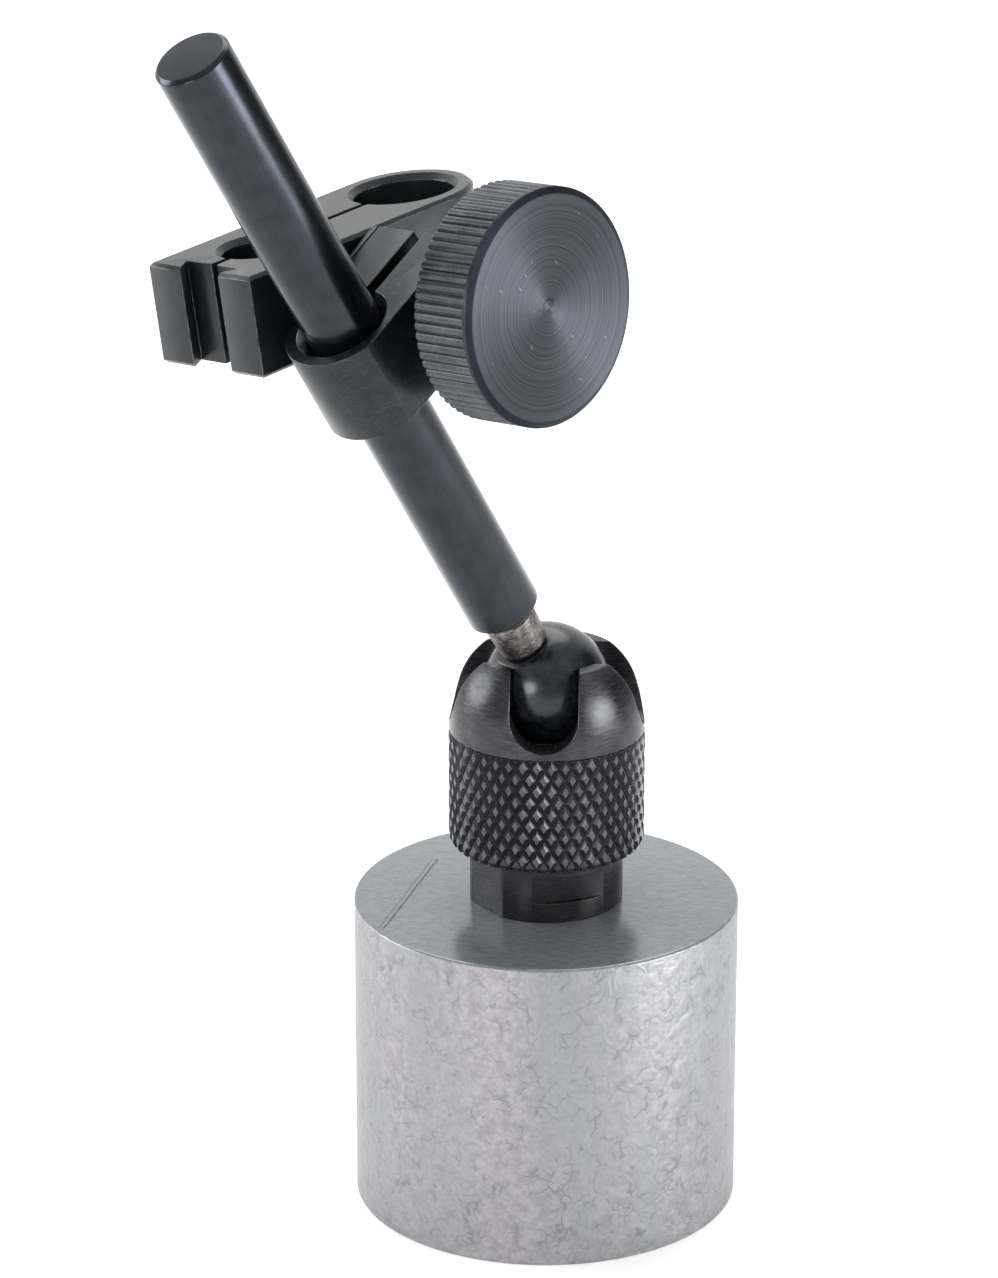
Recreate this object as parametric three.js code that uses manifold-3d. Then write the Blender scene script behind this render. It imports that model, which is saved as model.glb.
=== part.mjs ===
// Magnetic indicator stand: a pot magnet base, a clamping ball joint, a rod,
// and a split clamp that holds an indicator by its stem or its dovetail.
// Millimetres and degrees, +Z up. The origin is the centre of the magnetic face.
import * as THREE from "three";
import { mergeVertices } from "three/addons/utils/BufferGeometryUtils.js";
import Module from "manifold-3d";

const wasm = await Module();
wasm.setup();

// Facets round a turned piece, and a cut's run past the face that it starts from
const turnSteps = 56;
const smallTurnSteps = 32;
const arcSteps = 6;
const overrun = 1;

// Fits: a part that seats, a part that turns or slides, and a thread's two halves
const seatGap = 0.3;
const runningGap = 0.25;
const threadGap = 0.15;

// Magnet base: cup, spacer ring and magnet, from the outside in
const baseDiameter = 31.5;
const baseHeight = 26;
const baseRimChamfer = 0.25;
const potWall = 4;
const potRoof = 6.5;
const spacerWidth = 2.65;

// Stud that joins the base and the joint body
const baseStudDiameter = 5.9;
const baseStudEndGap = 0.7;
const baseStudDepthInBody = 6;

// Joint body: a collar with milled wrench flats, and a threaded spigot above it
const bodyDiameter = 12.5;
const collarHeight = 4.6;
const collarEdgeBreak = 0.15;
const wrenchAcrossFlats = 11;
const wrenchFlatBottom = 1.7;
const wrenchFlatLedge = 0.75;
const wrenchFlatTurn = 18;
const sideAcrossFlats = 11.74;
const sideFlatTurn = -55;
const spigotOverBall = 0.4;
const spigotWall = 0.9;
const spigotBelowBall = 4.1;
const spigotChamfer = 0.5;

// Ball joint
const ballDiameter = 10.3;
const ballAboveSleeveFoot = 13.4;
const seatFloor = 1.2;
const seatRimWidth = 0.3;

// Knurled sleeve with a domed, notched top
const sleeveWall = 2.3;
const sleeveFootChamfer = 0.45;
const domeRadius = 6.5;
const mouthAboveBall = 2.8;
const mouthLand = 1.15;
const notchWidth = 5.5;
const notchBelowBall = 0.35;
const notchTurn = -2.5;
const notchCount = 4;

// Rod and the bare stud between the ball and the rod
const rodDiameter = 6;
const rodStart = 8.3;
const rodLength = 57.8;
const rodFootChamfer = 0.65;
const rodTopChamfer = 0.25;
const neckDiameter = 4.3;
const neckShoulder = 0.15;
const tenonDiameter = 3;
const tenonDepthInRod = 6;
const tenonDepthInBall = 6.5;

// How the rod stands at rest: its lean, the side that it leans to, and its turn
const rodLean = 31;
const rodLeanSide = 219.28;
const rodTurn = 99.05;

// Split clamp on the rod
const clampHeight = 7.8;
const clampMiddle = 35.8;
const clampFrontWall = 1.5;
const clampSideInset = 0.4;
const clampBeyondScrew = 2.75;
const clampBoreChamfer = 0.55;
const clampSlit = 1.1;
const clampEdgeBreak = 0.2;

// Thumb screw, across both clamps
const screwOffset = 7.75;
const screwRise = 0.45;
const shankDiameter = 3.9;
const hubDiameter = 8.4;
const hubLength = 3.85;
const knobDiameter = 18.4;
const knobThickness = 5.65;
const knobBevelWidth = 0.7;
const knobBevelDepth = 0.3;
const knobBackBevel = 0.3;
const knobDish = 0.3;
const knobNubDiameter = 1.4;
const knobRibCount = 72;
const knobRibDepth = 0.3;

// Friction washer between the two clamps
const washerThickness = 0.5;
const washerMargin = 0.5;
const washerGap = 0.15;

// Indicator bar: a split bar with two stem holes and a dovetail groove
const barThickness = 8.15;
const barEdgeChamfer = 0.3;
const largeStemHole = 8.1;
const smallStemHole = 6.1;
const stemHoleChamfer = 0.48;
const largeStemWall = 1.55;
const largeStemWeb = 4.1;
const smallStemWeb = 0.6;
const dovetailWeb = 1.95;
const barSlit = 0.6;
const dovetailOpening = 4.1;
const dovetailDepth = 1.7;
const dovetailAngle = 60;
const barSwing = -25.3;

const radians = THREE.MathUtils.degToRad;

function toSolid(geometry) {
  const bare = geometry.clone();
  bare.deleteAttribute("normal");
  bare.deleteAttribute("uv");
  const merged = mergeVertices(bare);
  return new wasm.Manifold(
    new wasm.Mesh({
      numProp: 3,
      vertProperties: merged.attributes.position.array,
      triVerts: new Uint32Array(merged.index.array),
    }),
  );
}

function toGeometry(solid) {
  const mesh = solid.getMesh();
  const geometry = new THREE.BufferGeometry();
  geometry.setAttribute("position", new THREE.BufferAttribute(mesh.vertProperties, mesh.numProp));
  geometry.setIndex(new THREE.BufferAttribute(mesh.triVerts, 1));
  return geometry;
}

// A solid of revolution about Z from [radius, height] pairs, listed anticlockwise
function turned(profile, steps = turnSteps) {
  const points = profile.map(([radius, height]) => new THREE.Vector2(radius, height));
  const geometry = new THREE.LatheGeometry(points, steps);
  geometry.rotateX(Math.PI / 2);
  return toSolid(geometry);
}

// The same, with its axis along X
function turnedAlongX(profile, steps = turnSteps) {
  const points = profile.map(([radius, height]) => new THREE.Vector2(radius, height));
  const geometry = new THREE.LatheGeometry(points, steps);
  geometry.rotateX(Math.PI / 2);
  geometry.rotateY(Math.PI / 2);
  return toSolid(geometry);
}

function cylinder(radius, low, high, steps = smallTurnSteps) {
  return turned([[0, low], [radius, low], [radius, high], [0, high]], steps);
}

function block(low, high) {
  const size = high.map((value, axis) => value - low[axis]);
  const geometry = new THREE.BoxGeometry(...size);
  geometry.translate(...low.map((value, axis) => value + size[axis] / 2));
  return toSolid(geometry);
}

// A plate of the given outline, centred on its thickness, with its face edges chamfered
function plate(outline, thickness, chamfer, curveSegments) {
  const geometry = new THREE.ExtrudeGeometry(outline, {
    depth: thickness - 2 * chamfer,
    bevelEnabled: chamfer > 0,
    bevelThickness: chamfer,
    bevelSize: chamfer,
    bevelOffset: -chamfer,
    bevelSegments: 1,
    curveSegments,
  });
  geometry.translate(0, 0, chamfer - thickness / 2);
  return toSolid(geometry);
}

// A cutter for a through hole along Z with a chamfer at both mouths
function chamferedHole(radius, thickness, chamfer) {
  const face = thickness / 2;
  return turned(
    [
      [0, -face - overrun],
      [radius + chamfer + overrun, -face - overrun],
      [radius, chamfer - face],
      [radius, face - chamfer],
      [radius + chamfer + overrun, face + overrun],
      [0, face + overrun],
    ],
    smallTurnSteps,
  );
}

function mesh(name, solid, color, roughness, metalness) {
  const material = new THREE.MeshStandardMaterial({ color, roughness, metalness });
  const part = new THREE.Mesh(toGeometry(solid), material);
  part.name = name;
  return part;
}

const zincSteel = [0xa9abad, 0.5, 0.8];
const castMagnet = [0x77736e, 0.6, 0.7];
const brass = [0xb08d4a, 0.4, 0.9];
const bareSteel = [0x8d8078, 0.4, 0.9];
const blackOxide = [0x33373b, 0.4, 0.7];
const glossBlack = [0x1b1e20, 0.15, 0.6];

// Base
const baseRadius = baseDiameter / 2;
const potInnerRadius = baseRadius - potWall;
const cavityHeight = baseHeight - potRoof;
const baseStudRadius = baseStudDiameter / 2;
const tappedRadius = baseStudRadius + threadGap;

function potShell() {
  const shell = turned([
    [potInnerRadius, 0],
    [baseRadius - baseRimChamfer, 0],
    [baseRadius, baseRimChamfer],
    [baseRadius, baseHeight - baseRimChamfer],
    [baseRadius - baseRimChamfer, baseHeight],
    [tappedRadius, baseHeight],
    [tappedRadius, cavityHeight],
    [potInnerRadius, cavityHeight],
    [potInnerRadius, 0],
  ]);
  return mesh("pot_shell", shell, ...zincSteel);
}

const spacerOuterRadius = potInnerRadius - seatGap;
const spacerInnerRadius = spacerOuterRadius - spacerWidth;
const magnetRadius = spacerInnerRadius - seatGap;

function magnetCore() {
  return mesh("magnet_core", cylinder(magnetRadius, 0, cavityHeight - seatGap, turnSteps), ...castMagnet);
}

function spacerRing() {
  const top = cavityHeight - seatGap;
  const ring = turned([
    [spacerInnerRadius, 0],
    [spacerOuterRadius, 0],
    [spacerOuterRadius, top],
    [spacerInnerRadius, top],
    [spacerInnerRadius, 0],
  ]);
  return mesh("spacer_ring", ring, ...brass);
}

function baseStud() {
  const bottom = cavityHeight + baseStudEndGap;
  const top = baseHeight + baseStudDepthInBody;
  return mesh("base_stud", cylinder(baseStudRadius, bottom, top), ...bareSteel);
}

// Ball joint body
const bodyRadius = bodyDiameter / 2;
const ballRadius = ballDiameter / 2;
const hollowRadius = ballRadius + runningGap;
const spigotRadius = ballRadius + spigotOverBall;
const sleeveBoreRadius = spigotRadius + threadGap;
const sleeveRadius = sleeveBoreRadius + sleeveWall;
const collarTop = baseHeight + collarHeight;
const sleeveFoot = collarTop + seatGap;
const ballCentreHeight = sleeveFoot + ballAboveSleeveFoot;
const spigotTop = ballCentreHeight - spigotBelowBall;
const seatPocketRadius = spigotRadius - spigotWall;
const seatOuterRadius = seatPocketRadius - runningGap;
const seatBottom = ballCentreHeight - hollowRadius - seatFloor;
const seatPocketFloor = seatBottom - seatGap;

// Two opposite cutters that leave flats at the given distance from the axis
function flatPair(distance, low, high) {
  const reach = bodyRadius + overrun;
  const front = block([-reach, -reach, low], [reach, -distance, high]);
  const back = block([-reach, distance, low], [reach, reach, high]);
  return front.add(back);
}

function jointBody() {
  let body = turned([
    [tappedRadius, baseHeight],
    [bodyRadius - collarEdgeBreak, baseHeight],
    [bodyRadius, baseHeight + collarEdgeBreak],
    [bodyRadius, collarTop - collarEdgeBreak],
    [bodyRadius - collarEdgeBreak, collarTop],
    [spigotRadius, collarTop],
    [spigotRadius, spigotTop - spigotChamfer],
    [spigotRadius - spigotChamfer, spigotTop],
    [seatPocketRadius, spigotTop],
    [seatPocketRadius, seatPocketFloor],
    [0, seatPocketFloor],
    [0, baseHeight + baseStudDepthInBody + seatGap],
    [tappedRadius, baseHeight + baseStudDepthInBody + seatGap],
    [tappedRadius, baseHeight],
  ]);
  const milledBottom = baseHeight + wrenchFlatBottom;
  const milledTop = collarTop - wrenchFlatLedge;
  const wrenchCut = flatPair(wrenchAcrossFlats / 2, milledBottom, milledTop);
  const sideCut = flatPair(sideAcrossFlats / 2, baseHeight - overrun, collarTop);
  body = body.subtract(wrenchCut.rotate([0, 0, wrenchFlatTurn]));
  body = body.subtract(sideCut.rotate([0, 0, sideFlatTurn]));
  return mesh("joint_body", body, ...blackOxide);
}

// Points of a circle's arc in a turned profile, between two heights over its centre,
// which may stand off the axis
function arcPoints(radius, centreHeight, fromOffset, toOffset, steps = arcSteps, offAxis = 0) {
  const from = Math.asin(fromOffset / radius);
  const to = Math.asin(toOffset / radius);
  const points = [];
  for (let step = 0; step <= steps; step++) {
    const angle = from + ((to - from) * step) / steps;
    points.push([offAxis + radius * Math.cos(angle), centreHeight + radius * Math.sin(angle)]);
  }
  return points;
}

function ballSeat() {
  const rimDrop = Math.sqrt(hollowRadius ** 2 - (seatOuterRadius - seatRimWidth) ** 2);
  const cup = turned([
    [0, seatBottom],
    [seatOuterRadius, seatBottom],
    [seatOuterRadius, ballCentreHeight - rimDrop],
    ...arcPoints(hollowRadius, ballCentreHeight, -rimDrop, -hollowRadius),
  ]);
  return mesh("ball_seat", cup, ...blackOxide);
}

function knurledSleeve() {
  const mouthRadius = Math.sqrt(hollowRadius ** 2 - mouthAboveBall ** 2);
  const domeOffAxis = sleeveRadius - domeRadius;
  const domeRise = Math.sqrt(domeRadius ** 2 - (mouthRadius + mouthLand - domeOffAxis) ** 2);
  const domeCentre = ballCentreHeight + mouthAboveBall - domeRise;
  let sleeve = turned([
    [sleeveBoreRadius, sleeveFoot],
    [sleeveRadius - sleeveFootChamfer, sleeveFoot],
    [sleeveRadius, sleeveFoot + sleeveFootChamfer],
    ...arcPoints(domeRadius, domeCentre, 0, domeRise, arcSteps, domeOffAxis),
    ...arcPoints(hollowRadius, ballCentreHeight, mouthAboveBall, 0),
    [sleeveBoreRadius, ballCentreHeight],
    [sleeveBoreRadius, sleeveFoot],
  ]);
  const halfNotch = notchWidth / 2;
  const reach = sleeveRadius + overrun;
  for (let notch = 0; notch < notchCount; notch++) {
    const round = cylinder(halfNotch, 0, reach).rotate([90, 0, 0]);
    const open = block([-halfNotch, -reach, 0], [halfNotch, 0, reach]);
    const cutter = round.add(open).translate([0, 0, ballCentreHeight - notchBelowBall]);
    sleeve = sleeve.subtract(cutter.rotate([0, 0, notchTurn + (360 / notchCount) * notch]));
  }
  return mesh("knurled_sleeve", sleeve, ...blackOxide);
}

// Everything below stands on the ball's centre, with +Z along the rod
const tenonRadius = tenonDiameter / 2;
const neckRadius = neckDiameter / 2;
const rodRadius = rodDiameter / 2;
const tenonBoreRadius = tenonRadius + threadGap;
const ballFlatHeight = Math.sqrt(ballRadius ** 2 - (neckRadius + neckShoulder) ** 2);
const rodEnd = rodStart + rodLength;
const neckBottom = ballFlatHeight + threadGap;
const neckTop = rodStart - threadGap;

function ball() {
  const boreFloor = neckBottom - tenonDepthInBall - seatGap;
  const sphere = turned([
    ...arcPoints(ballRadius, 0, -ballRadius, ballFlatHeight, 2 * arcSteps),
    [tenonBoreRadius, ballFlatHeight],
    [tenonBoreRadius, boreFloor],
    [0, boreFloor],
  ]);
  return mesh("ball", sphere, ...glossBlack);
}

function ballStud() {
  const stud = turned(
    [
      [0, neckBottom - tenonDepthInBall],
      [tenonRadius, neckBottom - tenonDepthInBall],
      [tenonRadius, neckBottom],
      [neckRadius, neckBottom],
      [neckRadius, neckTop],
      [tenonRadius, neckTop],
      [tenonRadius, neckTop + tenonDepthInRod],
      [0, neckTop + tenonDepthInRod],
    ],
    smallTurnSteps,
  );
  return mesh("ball_stud", stud, ...bareSteel);
}

function rod() {
  const boreTop = neckTop + tenonDepthInRod + seatGap;
  const bar = turned([
    [tenonBoreRadius, rodStart],
    [rodRadius - rodFootChamfer, rodStart],
    [rodRadius, rodStart + rodFootChamfer],
    [rodRadius, rodEnd - rodTopChamfer],
    [rodRadius - rodTopChamfer, rodEnd],
    [0, rodEnd],
    [0, boreTop],
    [tenonBoreRadius, boreTop],
    [tenonBoreRadius, rodStart],
  ]);
  return mesh("rod", bar, ...blackOxide);
}

// The clamp's frame: +X along the screw to the knob, +Y from the rod to the screw
const clampBoreRadius = rodRadius + runningGap;
const clampFrontRadius = clampBoreRadius + clampFrontWall;
const clampHalf = clampFrontRadius - clampSideInset;
const clampReach = screwOffset + clampBeyondScrew;
const shankHoleRadius = shankDiameter / 2 + runningGap;
const barWidth = largeStemHole + 2 * largeStemWall;
const barFace = -clampHalf - washerThickness - 2 * washerGap;
const barCentre = barFace - barWidth / 2;
const barBack = barFace - barWidth;

function shankHole(from, to, radius = shankHoleRadius) {
  return turnedAlongX([[0, from], [radius, from], [radius, to], [0, to]], smallTurnSteps);
}

function rodClamp() {
  const cornerAngle = Math.acos(clampHalf / clampFrontRadius);
  const flatStart = -clampFrontRadius * Math.sin(cornerAngle);
  const outline = new THREE.Shape();
  outline.moveTo(clampHalf, flatStart);
  outline.lineTo(clampHalf, clampReach);
  outline.lineTo(-clampHalf, clampReach);
  outline.lineTo(-clampHalf, flatStart);
  outline.absarc(0, 0, clampFrontRadius, cornerAngle - Math.PI, -cornerAngle, false);
  const halfHeight = clampHeight / 2;
  const slit = block(
    [-clampSlit / 2, 0, -halfHeight - overrun],
    [clampSlit / 2, clampReach + overrun, halfHeight + overrun],
  );
  const crossHole = shankHole(-clampHalf - overrun, clampHalf + overrun);
  const clamp = plate(outline, clampHeight, clampEdgeBreak, smallTurnSteps / 2)
    .subtract(chamferedHole(clampBoreRadius, clampHeight, clampBoreChamfer))
    .subtract(slit)
    .subtract(crossHole.translate([0, screwOffset, screwRise]));
  return mesh("rod_clamp", clamp, ...blackOxide);
}

function frictionWasher() {
  const centre = -clampHalf - washerGap - washerThickness / 2;
  const halfThickness = washerThickness / 2;
  const halfWidth = shankHoleRadius + washerMargin;
  const bottom = -clampHeight / 2 - screwRise;
  const sheet = block([-halfThickness, -halfWidth, bottom], [halfThickness, halfWidth, bottom + clampHeight]);
  const hole = shankHole(-halfThickness - overrun, halfThickness + overrun);
  return mesh("friction_washer", sheet.subtract(hole).translate([centre, 0, 0]), ...bareSteel);
}

function thumbScrew() {
  const shankRadius = shankDiameter / 2;
  const hubStart = clampHalf + washerGap;
  const knobBack = hubStart + hubLength;
  const knobFace = knobBack + knobThickness;
  const knobRadius = knobDiameter / 2;
  const faceRadius = knobRadius - knobBevelWidth;
  const shape = turnedAlongX([
    [0, barBack + seatGap],
    [shankRadius, barBack + seatGap],
    [shankRadius, hubStart],
    [hubDiameter / 2, hubStart],
    [hubDiameter / 2, knobBack],
    [knobRadius - knobBackBevel, knobBack],
    [knobRadius, knobBack + knobBackBevel],
    [knobRadius, knobFace - knobBevelDepth],
    [faceRadius, knobFace],
    [knobNubDiameter / 2, knobFace - knobDish],
    [0, knobFace],
  ]);
  const ribbed = new THREE.Shape();
  for (let rib = 0; rib < knobRibCount; rib++) {
    const crest = (2 * Math.PI * rib) / knobRibCount;
    const valley = (2 * Math.PI * (rib + 1 / 2)) / knobRibCount;
    const valleyRadius = knobRadius - knobRibDepth;
    const crestPoint = [knobRadius * Math.cos(crest), knobRadius * Math.sin(crest)];
    if (rib === 0) ribbed.moveTo(...crestPoint);
    else ribbed.lineTo(...crestPoint);
    ribbed.lineTo(valleyRadius * Math.cos(valley), valleyRadius * Math.sin(valley));
  }
  const envelope = plate(ribbed, 2 * (knobFace - barBack), 0, 1).rotate([0, 90, 0]);
  return mesh("thumb_screw", shape.intersect(envelope), ...blackOxide);
}

// The bar's frame: +X as the clamp's, +Y towards the round end, +Z along its holes
function indicatorBar() {
  const halfWidth = barWidth / 2;
  const largeStemAt = shankHoleRadius + largeStemWeb + largeStemHole / 2;
  const smallStemAt = -shankHoleRadius - smallStemWeb - smallStemHole / 2;
  const barNearEnd = dovetailDepth + dovetailWeb + smallStemHole / 2 - smallStemAt;
  const outline = new THREE.Shape();
  outline.moveTo(-halfWidth, -barNearEnd);
  outline.lineTo(halfWidth, -barNearEnd);
  outline.lineTo(halfWidth, largeStemAt);
  outline.absarc(0, largeStemAt, halfWidth, 0, Math.PI, false);
  const stemHole = (diameter, at) =>
    chamferedHole(diameter / 2, barThickness, stemHoleChamfer).translate([0, at, 0]);
  const face = barThickness / 2 + overrun;
  const slit = block([-barSlit / 2, -barNearEnd, -face], [barSlit / 2, largeStemAt, face]);
  const halfOpening = dovetailOpening / 2;
  const halfFloor = halfOpening + dovetailDepth / Math.tan(radians(dovetailAngle));
  const groove = new THREE.Shape();
  groove.moveTo(-halfOpening, -barNearEnd - overrun);
  groove.lineTo(halfOpening, -barNearEnd - overrun);
  groove.lineTo(halfOpening, -barNearEnd);
  groove.lineTo(halfFloor, -barNearEnd + dovetailDepth);
  groove.lineTo(-halfFloor, -barNearEnd + dovetailDepth);
  groove.lineTo(-halfOpening, -barNearEnd);
  const tappedHole = shankHole(-halfWidth - overrun, 0, shankDiameter / 2 + threadGap);
  const bar = plate(outline, barThickness, barEdgeChamfer, smallTurnSteps / 2)
    .subtract(stemHole(largeStemHole, largeStemAt))
    .subtract(stemHole(smallStemHole, smallStemAt))
    .subtract(slit)
    .subtract(plate(groove, 2 * face, 0, 1))
    .subtract(shankHole(0, halfWidth + overrun))
    .subtract(tappedHole);
  return mesh("indicator_bar", bar, ...blackOxide);
}

// Assembly
const stand = new THREE.Group();
stand.add(potShell(), magnetCore(), spacerRing(), baseStud());
stand.add(jointBody(), ballSeat(), knurledSleeve());

const arm = new THREE.Group();
arm.position.z = ballCentreHeight;
arm.rotation.set(0, radians(rodLean), radians(rodLeanSide), "ZYX");
arm.add(ball(), ballStud());
stand.add(arm);

const turnedArm = new THREE.Group();
turnedArm.rotation.z = radians(rodTurn);
turnedArm.add(rod());
arm.add(turnedArm);

const clampFrame = new THREE.Group();
clampFrame.position.z = clampMiddle;
clampFrame.add(rodClamp());
turnedArm.add(clampFrame);

const screwFrame = new THREE.Group();
screwFrame.position.set(0, screwOffset, screwRise);
screwFrame.add(frictionWasher(), thumbScrew());
clampFrame.add(screwFrame);

const barFrame = new THREE.Group();
barFrame.position.x = barCentre;
barFrame.rotation.x = radians(barSwing);
barFrame.add(indicatorBar());
screwFrame.add(barFrame);

export default stand;
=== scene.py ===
import math

import bmesh
import bpy
from mathutils import Matrix, Vector


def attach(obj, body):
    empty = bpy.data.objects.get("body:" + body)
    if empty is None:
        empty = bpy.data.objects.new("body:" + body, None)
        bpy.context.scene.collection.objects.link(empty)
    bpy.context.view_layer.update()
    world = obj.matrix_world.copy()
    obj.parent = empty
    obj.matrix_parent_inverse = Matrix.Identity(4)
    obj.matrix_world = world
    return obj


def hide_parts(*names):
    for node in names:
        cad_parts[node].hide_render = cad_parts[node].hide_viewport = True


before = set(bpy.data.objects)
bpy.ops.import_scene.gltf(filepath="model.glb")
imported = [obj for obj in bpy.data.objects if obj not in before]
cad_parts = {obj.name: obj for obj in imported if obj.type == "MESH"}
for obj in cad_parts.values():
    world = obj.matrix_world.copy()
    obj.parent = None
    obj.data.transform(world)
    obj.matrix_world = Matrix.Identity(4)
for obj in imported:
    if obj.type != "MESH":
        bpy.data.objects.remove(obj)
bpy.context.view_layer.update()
print("stage: frame loaded")

# Sizes are in millimetres in each piece's own place, and become metres when it is put in the frame
millimetre = 0.001
ballCentre = Vector((0, 0, 44.3))


# Mesh helpers
def addObject(name, mesh):
    made = bpy.data.objects.new(name, mesh)
    bpy.context.scene.collection.objects.link(made)
    return made


# Turns the result of an object's modifiers into its plain mesh
def settle(piece):
    bpy.context.view_layer.update()
    evaluated = piece.evaluated_get(bpy.context.evaluated_depsgraph_get())
    mesh = bpy.data.meshes.new_from_object(evaluated)
    piece.modifiers.clear()
    piece.data = mesh
    return piece


def arc(centre, radius, start, end, steps):
    points = []
    for step in range(steps + 1):
        angle = math.radians(start + (end - start) * step / steps)
        points.append((centre[0] + radius * math.cos(angle), centre[1] + radius * math.sin(angle)))
    return points


# Replaces each corner that names a radius, as (x, y, radius), by a short arc
def softened(corners, closed):
    steps = 4
    count = len(corners)
    points = []
    for index, corner in enumerate(corners):
        onEnd = not closed and index in (0, count - 1)
        if len(corner) < 3 or onEnd:
            points.append(corner[:2])
            continue
        here = Vector(corner[:2])
        before = Vector(corners[index - 1][:2]) - here
        after = Vector(corners[(index + 1) % count][:2]) - here
        half = before.angle(after) / 2
        reach = min(corner[2] / math.tan(half), before.length * 0.45, after.length * 0.45)
        radius = reach * math.tan(half)
        centre = here + (before.normalized() + after.normalized()).normalized() * radius / math.sin(half)
        first = here + before.normalized() * reach - centre
        last = here + after.normalized() * reach - centre
        for step in range(steps + 1):
            share = step / steps
            spoke = first.lerp(last, share).normalized() * radius
            points.append(tuple(centre + spoke))
    return points


# A turned piece about Z from (radius, height) pairs, with a UV map that runs round and along it.
# A closed profile is a ring, joined from its last pair to its first
def turned(name, profile, segments, closed=False):
    mesh = bpy.data.meshes.new(name)
    shape = bmesh.new()
    rings = []
    for radius, height in profile:
        if radius < 1e-6:
            rings.append([shape.verts.new((0, 0, height))])
            continue
        ring = []
        for step in range(segments):
            angle = 2 * math.pi * step / segments
            ring.append(shape.verts.new((radius * math.cos(angle), radius * math.sin(angle), height)))
        rings.append(ring)
    layer = shape.loops.layers.uv.new("turn")
    travelled = [0.0]
    for index in range(1, len(profile)):
        gap = Vector(profile[index]) - Vector(profile[index - 1])
        travelled.append(travelled[-1] + gap.length)
    pairs = list(zip(range(len(rings) - 1), range(1, len(rings))))
    if closed:
        pairs.append((len(rings) - 1, 0))
    for low, high in pairs:
        for step in range(segments):
            after = (step + 1) % segments
            corners = []  # four, or three where one ring is a single point on the axis
            for ring, place, turnShare in (
                (low, step, step), (low, after, step + 1), (high, after, step + 1), (high, step, step)
            ):
                vertex = rings[ring][place if len(rings[ring]) > 1 else 0]
                if all(vertex is not used for used, _ in corners):
                    height = travelled[ring] if ring or low < high else travelled[-1] + 1
                    corners.append((vertex, (turnShare / segments, height / 100)))
            if len(corners) < 3:
                continue
            face = shape.faces.new([vertex for vertex, _ in corners])
            for loop, (_, place) in zip(face.loops, corners):
                loop[layer].uv = place
    bmesh.ops.recalc_face_normals(shape, faces=shape.faces)
    shape.to_mesh(mesh)
    shape.free()
    return addObject(name, mesh)


# A plate from an outline in X and Y, between two heights
def plate(name, outline, low, high):
    mesh = bpy.data.meshes.new(name)
    shape = bmesh.new()
    bottom = [shape.verts.new((x, y, low)) for x, y in outline]
    top = [shape.verts.new((x, y, high)) for x, y in outline]
    shape.faces.new(bottom)
    shape.faces.new(top)
    for index in range(len(outline)):
        after = (index + 1) % len(outline)
        shape.faces.new((bottom[index], bottom[after], top[after], top[index]))
    bmesh.ops.recalc_face_normals(shape, faces=shape.faces)
    shape.to_mesh(mesh)
    shape.free()
    return addObject(name, mesh)


# The same, from -half to half, with a chamfer round both faces
def rimmedPlate(name, outline, half, chamfer):
    piece = plate(name, outline, -half, half)
    shape = bmesh.new()
    shape.from_mesh(piece.data)
    rims = [edge for edge in shape.edges if abs(edge.verts[0].co.z - edge.verts[1].co.z) < 1e-6]
    bmesh.ops.bevel(shape, geom=rims, offset=chamfer, offset_type="OFFSET", segments=1, profile=0.5, affect="EDGES")
    shape.to_mesh(piece.data)
    shape.free()
    return piece


def box(name, low, high):
    outline = [(low[0], low[1]), (high[0], low[1]), (high[0], high[1]), (low[0], high[1])]
    return plate(name, outline, low[2], high[2])


def moved(piece, matrix):
    piece.data.transform(matrix)
    return piece


def cut(piece, cutters):
    for cutter in cutters:
        step = piece.modifiers.new("cut", "BOOLEAN")
        step.operation = "DIFFERENCE"
        step.solver = "EXACT"
        step.object = cutter
    settle(piece)
    for cutter in cutters:
        bpy.data.objects.remove(cutter)
    return piece


# Cuts off what lies outside two heights and closes each cut
def trimmed(piece, low, high):
    shape = bmesh.new()
    shape.from_mesh(piece.data)
    for height, outward in ((low, -1), (high, 1)):
        parts = shape.verts[:] + shape.edges[:] + shape.faces[:]
        made = bmesh.ops.bisect_plane(
            shape, geom=parts, plane_co=(0, 0, height), plane_no=(0, 0, outward), clear_outer=True
        )
        rims = [part for part in made["geom_cut"] if isinstance(part, bmesh.types.BMEdge)]
        bmesh.ops.edgeloop_fill(shape, edges=rims)
    bmesh.ops.recalc_face_normals(shape, faces=shape.faces)
    shape.to_mesh(piece.data)
    shape.free()
    return piece


# Rounds each edge that is sharper than an angle
def bevelled(piece, width, angle, segments=3):
    step = piece.modifiers.new("bevel", "BEVEL")
    step.width = width
    step.segments = segments
    step.limit_method = "ANGLE"
    step.angle_limit = math.radians(angle)
    return settle(piece)


# Stores the piece's own millimetre place for its material, then puts the mesh in the frame
def finishPiece(piece, place, body, nodes, material, sharpAngle=32):
    mesh = piece.data
    mesh.materials.clear()
    mesh.materials.append(material)
    ownPlace = mesh.attributes.new("ownPlace", "FLOAT_VECTOR", "POINT")
    for vertex, stored in zip(mesh.vertices, ownPlace.data):
        stored.vector = vertex.co
    mesh.shade_smooth()
    mesh.set_sharp_from_angle(angle=math.radians(sharpAngle))
    mesh.transform(Matrix.Scale(millimetre, 4) @ place)
    mesh.update()
    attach(piece, body)
    if nodes:
        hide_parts(*nodes)
    return piece


def turnAbout(axis, degrees):
    return Matrix.Rotation(math.radians(degrees), 4, axis)


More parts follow.
